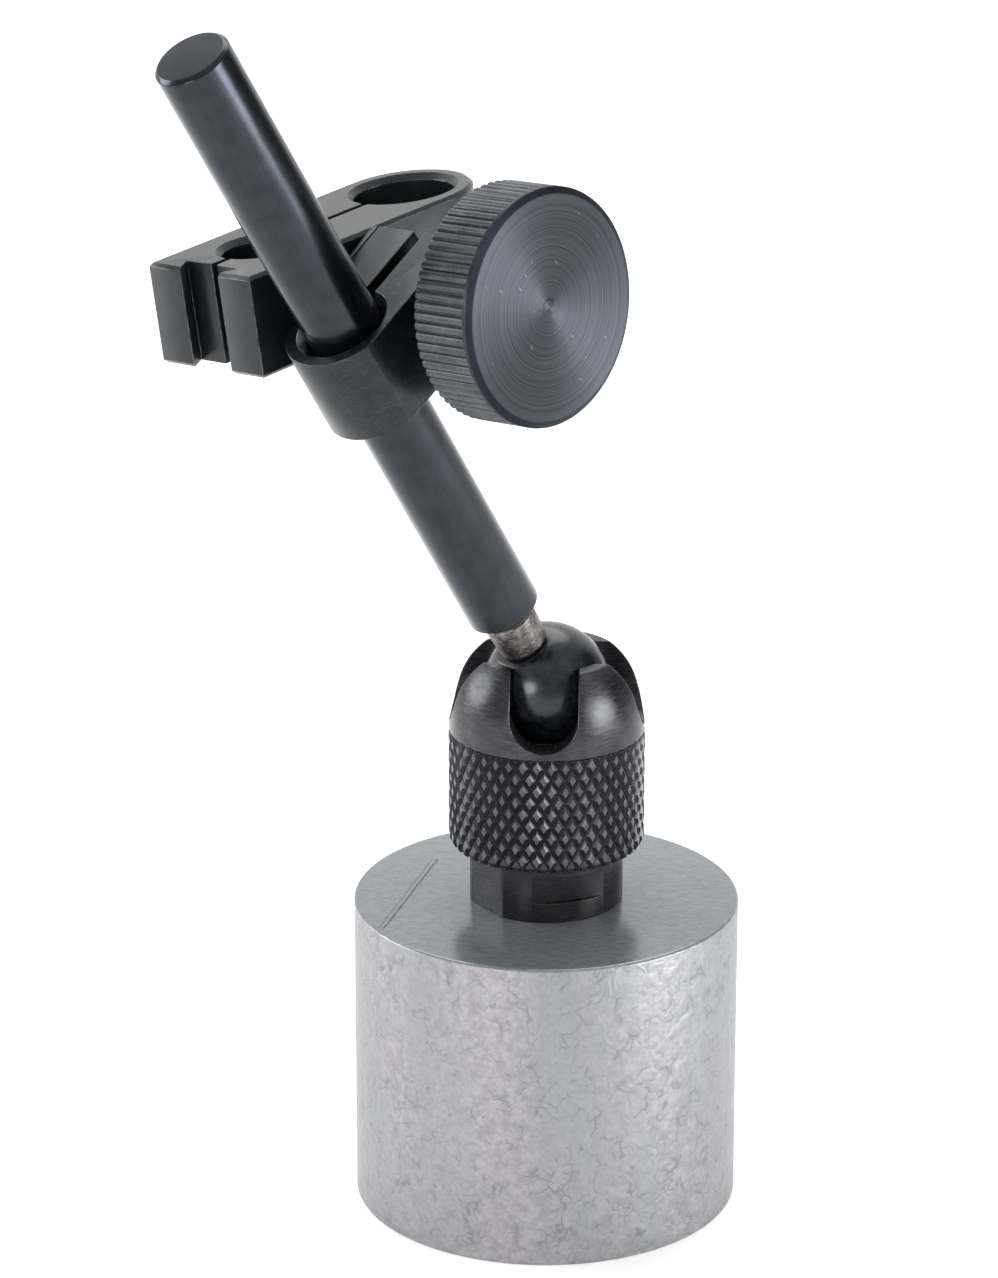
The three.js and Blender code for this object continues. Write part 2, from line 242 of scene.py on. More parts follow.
# Where each part of the arm stands in the photograph, one place carrying the next
upright = Matrix.Identity(4)
armPlace = Matrix.Translation(ballCentre) @ turnAbout("Z", 219.28) @ turnAbout("Y", 31)
turnedArmPlace = armPlace @ turnAbout("Z", 99.05)
clampPlace = turnedArmPlace @ Matrix.Translation((0, 0, 35.8))
screwPlace = clampPlace @ Matrix.Translation((0, 7.75, 0.45))
barPlace = screwPlace @ Matrix.Translation((-10.75, 0, 0)) @ turnAbout("X", -25.3)
alongX = turnAbout("Y", 90)


# Material helpers
def addNode(tree, kind, values=None, **settings):
    made = tree.nodes.new(kind)
    for name, value in settings.items():
        setattr(made, name, value)
    for name, value in (values or {}).items():
        if isinstance(value, bpy.types.NodeSocket):
            tree.links.new(value, made.inputs[name])
        else:
            made.inputs[name].default_value = value
    return made


def mathNode(tree, operation, *values):
    return addNode(tree, "ShaderNodeMath", dict(enumerate(values)), operation=operation).outputs[0]


def vectorNode(tree, operation, first, second):
    return addNode(tree, "ShaderNodeVectorMath", {0: first, 1: second}, operation=operation).outputs[0]


# A smooth step of one range onto another
def ramp(tree, value, low, high, toLow=0.0, toHigh=1.0):
    values = {"Value": value, "From Min": low, "From Max": high, "To Min": toLow, "To Max": toHigh}
    return addNode(tree, "ShaderNodeMapRange", values, interpolation_type="SMOOTHSTEP").outputs["Result"]


# Each colour is a socket or three numbers
def blend(tree, share, first, second):
    values = {0: share}
    for index, colour in ((6, first), (7, second)):
        values[index] = (*colour, 1) if isinstance(colour, tuple) else colour
    return addNode(tree, "ShaderNodeMix", values, data_type="RGBA").outputs[2]


def mixNumbers(tree, share, first, second):
    return addNode(tree, "ShaderNodeMix", {0: share, 2: first, 3: second}, data_type="FLOAT").outputs[0]


def noise(tree, place, scale, detail, rough, dimensions="3D"):
    values = {"Scale": scale, "Detail": detail, "Roughness": rough}
    values["Vector" if dimensions == "3D" else "W"] = place
    return addNode(tree, "ShaderNodeTexNoise", values, noise_dimensions=dimensions).outputs["Fac"]


def stretched(tree, place, scale):
    return vectorNode(tree, "MULTIPLY", place, scale)


# The three parts of a place, and its distance from the Z axis
def placeParts(tree, place):
    axes = addNode(tree, "ShaderNodeSeparateXYZ", {0: place}).outputs
    squares = [mathNode(tree, "POWER", axes[index], 2.0) for index in (0, 1)]
    return axes, mathNode(tree, "SQRT", mathNode(tree, "ADD", *squares))


# A place in millimetres, from a piece's own attribute or from the object of a CAD node
def startMaterial(name, stored=True):
    material = bpy.data.materials.new(name)
    material.use_nodes = True
    tree = material.node_tree
    tree.nodes.clear()
    surface = tree.nodes.new("ShaderNodeBsdfPrincipled")
    output = tree.nodes.new("ShaderNodeOutputMaterial")
    tree.links.new(surface.outputs[0], output.inputs[0])
    if stored:
        place = addNode(tree, "ShaderNodeAttribute", attribute_name="ownPlace").outputs["Vector"]
    else:
        place = stretched(tree, addNode(tree, "ShaderNodeTexCoord").outputs["Object"], (1000, 1000, 1000))
    return material, tree, surface, place


# How near a place is to a sharp edge, from 0 to 1, and the normal of the softened edge
def edgeShare(tree, width):
    rounded = addNode(tree, "ShaderNodeBevel", {"Radius": width * millimetre}, samples=6).outputs[0]
    flat = addNode(tree, "ShaderNodeNewGeometry").outputs["Normal"]
    likeness = addNode(tree, "ShaderNodeVectorMath", {0: rounded, 1: flat}, operation="DOT_PRODUCT").outputs["Value"]
    return ramp(tree, likeness, 0.995, 0.9), rounded


def bumped(tree, height, strength, distance, normal=None):
    values = {"Strength": strength, "Distance": distance * millimetre, "Height": height}
    if normal is not None:
        values["Normal"] = normal
    return addNode(tree, "ShaderNodeBump", values).outputs[0]


# Links what varies over a piece, and sets on the shader itself what is the same all over
def finishSurface(tree, surface, tone, roughness, relief, same):
    for name, socket in (("Base Color", tone), ("Roughness", roughness), ("Normal", relief)):
        tree.links.new(socket, surface.inputs[name])
    for name, value in same.items():
        surface.inputs[name].default_value = value


# Makes highlights follow the marks of a lathe, which run round with the UV map
def turnedGrain(tree, surface, amount, turn):
    surface.inputs["Anisotropic"].default_value = amount
    surface.inputs["Anisotropic Rotation"].default_value = turn
    tangent = addNode(tree, "ShaderNodeTangent", direction_type="UV_MAP", uv_map="turn")
    tree.links.new(tangent.outputs[0], surface.inputs["Tangent"])


# Blackened or bare steel: grain along one direction, cloudy tone, and bright edges that are partly wear and partly a
# painted highlight
def steelMaterial(name, settings, stored=True):
    material, tree, surface, place = startMaterial(name, stored)
    worn = settings["worn"]
    grain = noise(tree, stretched(tree, place, settings["grainStretch"]), settings["grainScale"], 4, 0.6)
    cloud = noise(tree, place, settings["cloudScale"], 3, 0.55)
    speck = noise(tree, place, settings["speckScale"], 2, 0.7)
    tone = blend(tree, ramp(tree, cloud, 0.3, 0.7), settings["dark"], settings["light"])
    tone = blend(tree, ramp(tree, grain, 0.45, 0.8, 0, settings["grainTone"]), tone, worn)
    tone = blend(tree, ramp(tree, speck, 0.68, 0.8, 0, settings["speckTone"]), tone, worn)
    edge, rounded = edgeShare(tree, settings["edgeWidth"])
    patchy = ramp(tree, noise(tree, place, 1.3, 3, 0.6), 0.3, 0.65)
    # Edges lightened towards the worn colour: partly wear, partly a painted highlight along the rims
    wornEdgeAndHighlight = mathNode(tree, "MULTIPLY", mathNode(tree, "MULTIPLY", edge, patchy), settings["edgeWearAndHighlight"])
    tone = blend(tree, wornEdgeAndHighlight, tone, worn)
    roughness = ramp(tree, grain, 0.3, 0.75, settings["smoothest"], settings["roughest"])
    same = {
        "Metallic": settings["metallic"], "Specular IOR Level": settings["specular"],
        "Coat Weight": settings["coat"], "Coat Roughness": 0.22,
    }
    relief = bumped(tree, grain, settings["bumpStrength"], 0.02, rounded)
    finishSurface(tree, surface, tone, roughness, relief, same)
    if "anisotropic" in settings:
        turnedGrain(tree, surface, settings["anisotropic"], settings["anisotropicTurn"])
    return material


# What each steel piece has unless its own finish says otherwise
blackSettings = {
    "dark": (0.030, 0.032, 0.036), "light": (0.050, 0.053, 0.058), "worn": (0.22, 0.22, 0.23),
    "grainStretch": (1, 1, 14), "grainScale": 2.2, "grainTone": 0.22,
    "cloudScale": 0.5, "speckScale": 6.0, "speckTone": 0.2,
    "edgeWidth": 0.12, "edgeWearAndHighlight": 0.8, "smoothest": 0.22, "roughest": 0.42, "bumpStrength": 0.18, "metallic": 0.85,
    "coat": 0.0, "specular": 0.5,
}
print("stage: helpers ready")

# Base: a zinc-plated cup with a spangled side
baseSettings = {
    "radius": 15.75, "height": 26, "wall": 4, "roof": 6.5, "stud": 3.1,
    "topRound": 0.24, "footRound": 0.2, "segments": 256,
    "sideDark": (0.262, 0.256, 0.27), "sideLight": (0.368, 0.358, 0.376), "sideCloud": (0.285, 0.302, 0.30),
    # The crescent colour is painted crease shade
    "creaseShadeColour": (0.15, 0.155, 0.16), "creaseShadeStrength": 0.56, "flakeRelief": 0.54, "sideRough": (0.4, 0.52),
    "flakes": (
        {"scale": 0.45, "line": 0.06, "dome": 1.0, "shift": 0.0},
        {"scale": 0.85, "line": 0.075, "dome": 0.5, "shift": 40.0},
    ),
    "topDark": (0.16, 0.172, 0.18), "topLight": (0.275, 0.292, 0.305), "topRough": (0.14, 0.22),
    # The rim colour is a painted edge highlight
    "scratch": ((-8.97, 7.7), (-13.31, -7.6)), "scratchTone": (0.055, 0.06, 0.065), "rim": (0.62, 0.62, 0.63),
}


# Low zinc flakes of each size: painted crease shade as dark crescents along parts of their outlines, and their
# shallow domes
def flakePattern(tree, place, flakes):
    warp = addNode(tree, "ShaderNodeTexNoise", {"Vector": place, "Scale": 0.55, "Detail": 1.0}).outputs["Color"]
    bent = vectorNode(tree, "ADD", place, vectorNode(tree, "MULTIPLY", warp, (2.2, 2.2, 2.2)))
    creaseShade, domes = 0.0, 0.0
    for flake in flakes:
        values = {"Vector": bent, "Scale": flake["scale"], "Randomness": 1.0}
        outline = addNode(tree, "ShaderNodeTexVoronoi", values, feature="DISTANCE_TO_EDGE").outputs["Distance"]
        shifted = vectorNode(tree, "ADD", place, (flake["shift"], 0, 0))
        shown = ramp(tree, noise(tree, shifted, 0.6, 2, 0.5), 0.5, 0.64)
        line = mathNode(tree, "MULTIPLY", ramp(tree, outline, flake["line"], 0.0), shown)
        creaseShade = mathNode(tree, "MAXIMUM", creaseShade, line)
        dome = mathNode(tree, "MULTIPLY", ramp(tree, outline, 0.0, 0.3), flake["dome"])
        domes = mathNode(tree, "ADD", domes, dome)
    return creaseShade, domes


# A long double scratch between two points of the top
def scratchMark(tree, place, axes, ends):
    (startX, startY), (endX, endY) = ends
    span = math.hypot(endX - startX, endY - startY)
    unitX, unitY = (endX - startX) / span, (endY - startY) / span
    offX = mathNode(tree, "SUBTRACT", axes[0], startX)
    offY = mathNode(tree, "SUBTRACT", axes[1], startY)
    along = mathNode(tree, "ADD", mathNode(tree, "MULTIPLY", offX, unitX), mathNode(tree, "MULTIPLY", offY, unitY))
    across = mathNode(
        tree, "SUBTRACT", mathNode(tree, "MULTIPLY", offX, unitY), mathNode(tree, "MULTIPLY", offY, unitX)
    )
    waver = mathNode(tree, "MULTIPLY", noise(tree, place, 0.8, 2, 0.5), 0.18)
    across = mathNode(tree, "ADD", across, waver)
    scratch = 0.0
    for shift, share in ((0.0, 1.0), (0.42, 0.5)):
        off = mathNode(tree, "ABSOLUTE", mathNode(tree, "SUBTRACT", across, shift))
        line = mathNode(tree, "MULTIPLY", ramp(tree, off, 0.16, 0.05), share)
        scratch = mathNode(tree, "MAXIMUM", scratch, line)
    within = mathNode(tree, "MULTIPLY", ramp(tree, along, 0.0, 0.6), ramp(tree, along, span, span - 0.6))
    return mathNode(tree, "MULTIPLY", scratch, within)


def zincMaterial(settings):
    material, tree, surface, place = startMaterial("zincSpangle")
    axes = addNode(tree, "ShaderNodeSeparateXYZ", {0: place}).outputs
    onTop = ramp(tree, axes[2], settings["height"] - 0.2, settings["height"] - 0.05)

    # The side has flakes over a cloudy, finely pitted tone; the fine noise also paints light and dark relief shading
    # into the colour
    creaseShade, domes = flakePattern(tree, place, settings["flakes"])
    mottle = noise(tree, place, 1.1, 4, 0.6)
    # Fine noise: pitting, and painted light and dark shading of the relief
    pitsAndPaintedShade = noise(tree, place, 2.8, 4, 0.62)
    cloud = noise(tree, stretched(tree, place, (1, 1, 0.15)), 0.15, 2, 0.5)
    mixed = mathNode(tree, "ADD", mathNode(tree, "MULTIPLY", mottle, 0.6), mathNode(tree, "MULTIPLY", pitsAndPaintedShade, 0.4))
    side = blend(tree, ramp(tree, mixed, 0.36, 0.64), settings["sideDark"], settings["sideLight"])
    side = blend(tree, ramp(tree, cloud, 0.4, 0.6, 0, 0.5), side, settings["sideCloud"])
    # Painted shade: dark crease lines along parts of the flake outlines
    side = blend(tree, mathNode(tree, "MULTIPLY", creaseShade, settings["creaseShadeStrength"]), side, settings["creaseShadeColour"])
    sideRough = ramp(tree, mottle, 0.3, 0.7, *settings["sideRough"])
    sideRelief = mathNode(tree, "MULTIPLY_ADD", domes, settings["flakeRelief"], mixed)

    # The top has a fine grain along X and the scratch
    grain = noise(tree, stretched(tree, place, (1, 6, 1)), 1.6, 5, 0.7)
    scratch = scratchMark(tree, place, axes, settings["scratch"])
    top = blend(tree, ramp(tree, grain, 0.32, 0.68), settings["topDark"], settings["topLight"])
    top = blend(tree, mathNode(tree, "MULTIPLY", scratch, 0.9), top, settings["scratchTone"])
    topRough = ramp(tree, grain, 0.3, 0.7, *settings["topRough"])
    topRelief = mathNode(tree, "SUBTRACT", mathNode(tree, "MULTIPLY", grain, 0.09), scratch)

    edge, rounded = edgeShare(tree, 0.15)
    tone = blend(tree, onTop, side, top)
    # Painted highlight: the edges are lightened towards the pale rim colour
    tone = blend(tree, mathNode(tree, "MULTIPLY", edge, 0.3), tone, settings["rim"])
    roughness = mixNumbers(tree, onTop, sideRough, topRough)
    relief = bumped(tree, mixNumbers(tree, onTop, sideRelief, topRelief), 0.45, 0.1, rounded)
    finishSurface(tree, surface, tone, roughness, relief, {})
    tree.links.new(mathNode(tree, "MULTIPLY_ADD", onTop, -0.4, 0.9), surface.inputs["Metallic"])
    return material


def makeBase(settings):
    radius, height = settings["radius"], settings["height"]
    inner = radius - settings["wall"]
    roof = height - settings["roof"]
    corners = [
        (inner, 0), (radius, 0, settings["footRound"]), (radius, height, settings["topRound"]),
        (settings["stud"], height), (settings["stud"], roof), (inner, roof),
    ]
    cup = turned("zinc_cup", softened(corners, True), settings["segments"], closed=True)
    return finishPiece(cup, upright, "base", ["pot_shell"], zincMaterial(settings))


makeBase(baseSettings)
print("stage: base made")

# Joint body: a collar with milled wrench flats, and the spigot that the sleeve screws on
collarSettings = {
    "radius": 6.25, "low": 26, "top": 30.6, "edge": 0.12, "spigot": 5.55, "spigotTop": 40.2,
    "pocket": 4.65, "pocketFloor": 37.35, "stud": 3.1, "studTop": 32.3, "segments": 160,
    "wrench": 5.5, "wrenchLow": 27.7, "wrenchTop": 29.85, "wrenchTurn": 18, "side": 5.87, "sideTurn": -55,
    "finish": dict(
        blackSettings, dark=(0.009, 0.0095, 0.011), light=(0.016, 0.0155, 0.0175), worn=(0.075, 0.066, 0.066),
        grainStretch=(0.5, 0.5, 8), grainTone=0.25, edgeWearAndHighlight=0.6, metallic=0.2, specular=0.22,
    ),
}


# Two boxes that mill a pair of flats, each at a distance from the axis
def flatPair(distance, low, high, turn, reach=9):
    cutters = []
    for sign in (-1, 1):
        near, far = sorted((sign * distance, sign * reach))
        cutter = box("cutter", (-reach, near, low), (reach, far, high))
        cutters.append(moved(cutter, turnAbout("Z", turn)))
    return cutters


def makeCollar(settings):
    radius, low, top = settings["radius"], settings["low"], settings["top"]
    profile = [
        (0, settings["studTop"]), (settings["stud"], settings["studTop"]), (settings["stud"], low),
        (radius, low, settings["edge"]), (radius, top, settings["edge"]),
        (settings["spigot"], top), (settings["spigot"], settings["spigotTop"]),
        (settings["pocket"], settings["spigotTop"]), (settings["pocket"], settings["pocketFloor"]),
        (0, settings["pocketFloor"]),
    ]
    collar = turned("joint_collar", softened(profile, False), settings["segments"])
    cutters = flatPair(settings["wrench"], settings["wrenchLow"], settings["wrenchTop"], settings["wrenchTurn"])
    cutters += flatPair(settings["side"], low - 1, top + 0.1, settings["sideTurn"])
    cut(collar, cutters)
    material = steelMaterial("collarOxide", settings["finish"])
    return finishPiece(collar, upright, "base", ["joint_body"], material)


makeCollar(collarSettings)
print("stage: joint body made")

# Sleeve: a turned dome with four notches over a diamond knurl
sleeveSettings = {
    "radius": 7.94, "core": 7.70, "low": 30.9, "footChamfer": 0.45, "knurlTop": 40.45, "spring": 42.2,
    "dome": 6.48, "mouth": 47.1, "bore": 5.7, "hollow": 5.4, "notch": 2.75, "notchAt": 43.95, "notchTurn": -2.5,
    "edge": 0.09, "segments": 192,
    "finish": dict(
        blackSettings, dark=(0.028, 0.030, 0.035), light=(0.048, 0.050, 0.057), worn=(0.23, 0.20, 0.19),
        grainStretch=(0.4, 0.4, 12), grainTone=0.36, edgeWearAndHighlight=0.9, smoothest=0.24, roughest=0.38,
        bumpStrength=0.3, anisotropic=0.55, anisotropicTurn=0.25,
    ),
}
knurlSettings = {
    "Facets Round": 43, "Rows": 11, "Radius": 7.68, "Foot Radius": 7.35, "Foot Height": 30.9, "Full Height": 31.4,
    "First Row": 30.9, "Row Spacing": 1.0, "Facet Width": 1.14, "Facet Height": 2.0, "Facet Depth": 0.30,
    "Tip Share": 0.42, "Unevenness": 0.015, "Seed": 4,
}
# The groove tone is painted shade; the tip and edge tones are partly wear and partly a painted highlight
knurlTones = {
    "groove": (0.013, 0.0135, 0.016), "padDark": (0.029, 0.030, 0.034), "padLight": (0.047, 0.047, 0.053),
    "tip": (0.20, 0.20, 0.21), "tipWearAndHighlight": 0.28, "edgeWearAndHighlight": 0.12, "tipRough": 0.24, "grooveRough": 0.5,
}


# A geometry node group that sets one facet at each place of a staggered ring pattern
def facetGroup(name, settings, makeShape):
    group = bpy.data.node_groups.new(name, "GeometryNodeTree")
    group.interface.new_socket("Geometry", in_out="OUTPUT", socket_type="NodeSocketGeometry")
    for label, value in settings.items():
        kind = "NodeSocketInt" if isinstance(value, int) else "NodeSocketFloat"
        group.interface.new_socket(label, in_out="INPUT", socket_type=kind).default_value = value
    group.interface.new_socket("Material", in_out="INPUT", socket_type="NodeSocketMaterial")
    given = group.nodes.new("NodeGroupInput").outputs
    result = group.nodes.new("NodeGroupOutput").inputs

    # Each point's row and column give its height, its turn and its distance from the axis
    index = group.nodes.new("GeometryNodeInputIndex").outputs[0]
    column = mathNode(group, "FLOORED_MODULO", index, given["Facets Round"])
    row = mathNode(group, "FLOOR", mathNode(group, "DIVIDE", index, given["Facets Round"]))
    shift = mathNode(group, "MULTIPLY", mathNode(group, "FLOORED_MODULO", row, 2.0), 0.5)
    turnShare = mathNode(group, "DIVIDE", mathNode(group, "ADD", column, shift), given["Facets Round"])
    angle = mathNode(group, "MULTIPLY", turnShare, 2 * math.pi)
    height = mathNode(group, "MULTIPLY_ADD", row, given["Row Spacing"], given["First Row"])
    taper = {
        "Value": height, "From Min": given["Foot Height"], "From Max": given["Full Height"],
        "To Min": given["Foot Radius"], "To Max": given["Radius"],
    }
    radius = addNode(group, "ShaderNodeMapRange", taper).outputs["Result"]
    across = mathNode(group, "MULTIPLY", radius, mathNode(group, "COSINE", angle))
    along = mathNode(group, "MULTIPLY", radius, mathNode(group, "SINE", angle))
    place = addNode(group, "ShaderNodeCombineXYZ", {0: across, 1: along, 2: height}).outputs[0]
    total = mathNode(group, "MULTIPLY", given["Facets Round"], given["Rows"])
    points = addNode(group, "GeometryNodePoints", {"Count": total, "Position": place}).outputs[0]

    # Each facet stands on its point with its Z axis outwards, and no two are quite equally deep
    outward = mathNode(group, "ADD", angle, math.pi / 2)
    euler = addNode(group, "ShaderNodeCombineXYZ", {0: math.pi / 2, 1: 0.0, 2: outward}).outputs[0]
    turn = addNode(group, "FunctionNodeEulerToRotation", {0: euler}).outputs[0]
    least = mathNode(group, "SUBTRACT", 1.0, given["Unevenness"])
    chance = {2: least, 3: 1.0, "Seed": given["Seed"]}  # inputs 2 and 3 and output 1 belong to plain numbers
    uneven = addNode(group, "FunctionNodeRandomValue", chance, data_type="FLOAT").outputs[1]
    width = mathNode(group, "MULTIPLY", given["Facet Width"], 0.5)
    length = mathNode(group, "MULTIPLY", given["Facet Height"], 0.5)
    depth = mathNode(group, "MULTIPLY", given["Facet Depth"], uneven)
    size = addNode(group, "ShaderNodeCombineXYZ", {0: width, 1: length, 2: depth}).outputs[0]
    facets = {"Points": points, "Instance": makeShape(group, given), "Rotation": turn, "Scale": size}
    placed = addNode(group, "GeometryNodeInstanceOnPoints", facets).outputs[0]
    real = addNode(group, "GeometryNodeRealizeInstances", {0: placed}).outputs[0]
    painted = addNode(group, "GeometryNodeSetMaterial", {"Geometry": real, "Material": given["Material"]})
    group.links.new(painted.outputs[0], result[0])
    return group


def facetedPiece(name, group, settings, material):
    piece = addObject(name, bpy.data.meshes.new(name))
    modifier = piece.modifiers.new("facets", "NODES")
    modifier.node_group = group
    for socket in group.interface.items_tree:
        if socket.in_out == "INPUT":
            modifier[socket.identifier] = material if socket.name == "Material" else settings[socket.name]
    return settle(piece)


# The dome's arc stands off the axis, and the mouth and the hollow are centred on the ball
def makeSleeve(settings):
    radius, low, mouth = settings["radius"], settings["low"], settings["mouth"]
    dome = math.degrees(math.asin((mouth - settings["spring"]) / settings["dome"]))
    offAxis = radius - settings["dome"]
    lip = math.degrees(math.asin((mouth - ballCentre.z) / settings["hollow"]))
    outer = arc((offAxis, settings["spring"]), settings["dome"], 0, dome, 28)
    inner = arc((0, ballCentre.z), settings["hollow"], lip, 0, 14)
    foot = radius - settings["footChamfer"]
    corners = [
        (settings["bore"], low), (foot - 0.15, low, 0.05), (settings["core"], low + settings["footChamfer"] - 0.1),
        (settings["core"], settings["knurlTop"], 0.1), (radius, settings["knurlTop"] + 0.25, 0.1),
    ]
    rim = [(*outer[-1], settings["edge"]), (*inner[0], settings["edge"])]
    corners += outer[1:-1] + rim + inner[1:] + [(settings["bore"], ballCentre.z)]
    sleeve = turned("domed_sleeve", softened(corners, True), settings["segments"], closed=True)
    notch = settings["notch"]
    notchCentre = Matrix.Translation((0, 0, settings["notchAt"]))
    cutters = []
    for turn in (0, 90, 180, 270):
        rounded = turned("cutter", [(0, 0), (notch, 0), (notch, 10), (0, 10)], 72)
        moved(rounded, turnAbout("X", 90))
        opened = box("cutter", (-notch, -10, 0), (notch, 0, 6))
        for cutter in (rounded, opened):
            cutters.append(moved(cutter, turnAbout("Z", turn + settings["notchTurn"]) @ notchCentre))
    cut(sleeve, cutters)
    material = steelMaterial("sleeveOxide", settings["finish"])
    return finishPiece(sleeve, upright, "sleeve", ["knurled_sleeve"], material)


# Grooves darkened as painted shade, grey pads, and tips and edges lightened as wear and painted highlight, by the
# distance from the axis
def knurlMaterial(settings, tones):
    material, tree, surface, place = startMaterial("knurlOxide")
    reach = placeParts(tree, place)[1]
    foot = settings["Radius"]
    tip = foot + settings["Facet Depth"]
    cloud = noise(tree, place, 0.6, 3, 0.5)
    fine = noise(tree, place, 3.0, 4, 0.6)
    pad = blend(tree, ramp(tree, cloud, 0.35, 0.65), tones["padDark"], tones["padLight"])
    # Painted shade: the grooves between the facets are darker than the pads
    tone = blend(tree, ramp(tree, reach, foot + 0.01, foot + 0.15), tones["groove"], pad)
    # Tips lightened: partly wear, partly a painted highlight
    worn = ramp(tree, reach, tip - 0.05, tip - 0.005, 0, tones["tipWearAndHighlight"])
    tone = blend(tree, mathNode(tree, "MULTIPLY", worn, ramp(tree, fine, 0.3, 0.6, 0.4, 1)), tone, tones["tip"])
    edge, rounded = edgeShare(tree, 0.05)
    tone = blend(tree, mathNode(tree, "MULTIPLY", edge, tones["edgeWearAndHighlight"]), tone, tones["tip"])
    roughness = ramp(tree, reach, foot + 0.05, tip, tones["grooveRough"], tones["tipRough"])
    finishSurface(tree, surface, tone, roughness, bumped(tree, fine, 0.06, 0.02, rounded), {"Metallic": 0.8})
    return material


def makeKnurl(settings, tones):
    material = knurlMaterial(settings, tones)

    def facetShape(tree, given):
        values = {"Vertices": 4, "Radius Top": given["Tip Share"], "Radius Bottom": 1.0, "Depth": 1.0}
        return addNode(tree, "GeometryNodeMeshCone", values).outputs["Mesh"]

    group = facetGroup("diamondKnurl", settings, facetShape)
    knurl = facetedPiece("diamond_knurl", group, settings, material)
    trimmed(knurl, sleeveSettings["low"] + 0.02, sleeveSettings["knurlTop"] + 0.12)
    return finishPiece(knurl, upright, "sleeve", [], material, sharpAngle=20)


makeSleeve(sleeveSettings)
makeKnurl(knurlSettings, knurlTones)
print("stage: sleeve made")

# Ball and its bare stud
ballSettings = {
    "radius": 5.15, "flat": 4.6, "tenon": 1.65, "depth": 6.6, "segments": 96,
    "dark": (0.004, 0.005, 0.007), "light": (0.016, 0.019, 0.024), "smoothest": 0.18, "roughest": 0.32,
    "same": {"Metallic": 0.35, "Coat Weight": 0.3, "Coat Roughness": 0.24},
}
studSettings = {
    "neck": 2.15, "low": 4.75, "top": 8.15, "tenon": 1.5, "waist": 2.02, "segments": 96,
    "finish": dict(
        blackSettings, dark=(0.060, 0.050, 0.047), light=(0.175, 0.16, 0.155), worn=(0.66, 0.64, 0.63),
        grainStretch=(1, 1, 3), grainScale=3.0, grainTone=0.5, cloudScale=1.6, speckScale=5, speckTone=0.7,
        smoothest=0.28, roughest=0.5, bumpStrength=0.4, metallic=0.95,
    ),
}


def glossMaterial(settings):
    material, tree, surface, place = startMaterial("ballGloss")
    haze = noise(tree, place, 1.1, 4, 0.6)
    scuff = noise(tree, stretched(tree, place, (1, 1, 6)), 2.0, 4, 0.7)
    tone = blend(tree, ramp(tree, haze, 0.35, 0.7), settings["dark"], settings["light"])
    worn = mathNode(tree, "ADD", mathNode(tree, "MULTIPLY", haze, 0.6), mathNode(tree, "MULTIPLY", scuff, 0.4))
    roughness = ramp(tree, worn, 0.35, 0.65, settings["smoothest"], settings["roughest"])
    finishSurface(tree, surface, tone, roughness, bumped(tree, scuff, 0.05, 0.02), settings["same"])
    return material


def makeBall(settings):
    radius, flat, tenon = settings["radius"], settings["flat"], settings["tenon"]
    top = math.degrees(math.asin(flat / radius))
    profile = arc((0, 0), radius, -90, top, 48)
    profile[0] = (0, -radius)
    profile += [(tenon, flat), (tenon, flat - settings["depth"]), (0, flat - settings["depth"])]
    ball = turned("gloss_ball", profile, settings["segments"])
    return finishPiece(ball, armPlace, "ball_arm", ["ball"], glossMaterial(settings))


def makeStud(settings):
    neck, low, top, waist = settings["neck"], settings["low"], settings["top"], settings["waist"]
    corners = [
        (0, low - 6.5), (settings["tenon"], low - 6.5), (settings["tenon"], low), (waist - 0.15, low, 0.1),
        (waist, low + 0.3, 0.1), (neck, top - 0.8, 0.3), (neck, top - 0.2, 0.1), (neck - 0.2, top, 0.05),
        (settings["tenon"], top), (settings["tenon"], top + 6), (0, top + 6),
    ]
    stud = turned("bare_stud", softened(corners, False), settings["segments"])
    material = steelMaterial("bareSteel", settings["finish"])
    return finishPiece(stud, armPlace, "ball_arm", ["ball_stud"], material)


makeBall(ballSettings)
makeStud(studSettings)
print("stage: ball and stud made")

# Rod: plain and round, with a chamfered foot over the neck
rodSettings = {
    "radius": 3, "low": 8.3, "top": 66.1, "foot": 0.65, "edge": 0.3, "tenon": 1.65, "segments": 128,
    "finish": dict(
        blackSettings, dark=(0.020, 0.024, 0.031), light=(0.027, 0.032, 0.041), worn=(0.24, 0.25, 0.27),
        grainStretch=(4, 4, 0.12), grainScale=2.6, grainTone=0.05, speckTone=0.08, smoothest=0.17, roughest=0.22,
        bumpStrength=0.03, metallic=0.9, edgeWearAndHighlight=0.7, coat=0.15,
    ),
}


def makeRod(settings):
    radius, low, top = settings["radius"], settings["low"], settings["top"]
    corners = [
        (0, low + 6.2), (settings["tenon"], low + 6.2), (settings["tenon"], low),
        (radius - settings["foot"], low, 0.06), (radius, low + settings["foot"], 0.12),
        (radius, top - settings["edge"], 0.1), (radius - settings["edge"], top, 0.1), (0, top),
    ]
    rod = turned("round_rod", softened(corners, False), settings["segments"])
    material = steelMaterial("rodOxide", settings["finish"])
    return finishPiece(rod, turnedArmPlace, "rod", ["rod"], material)


makeRod(rodSettings)
print("stage: rod made")

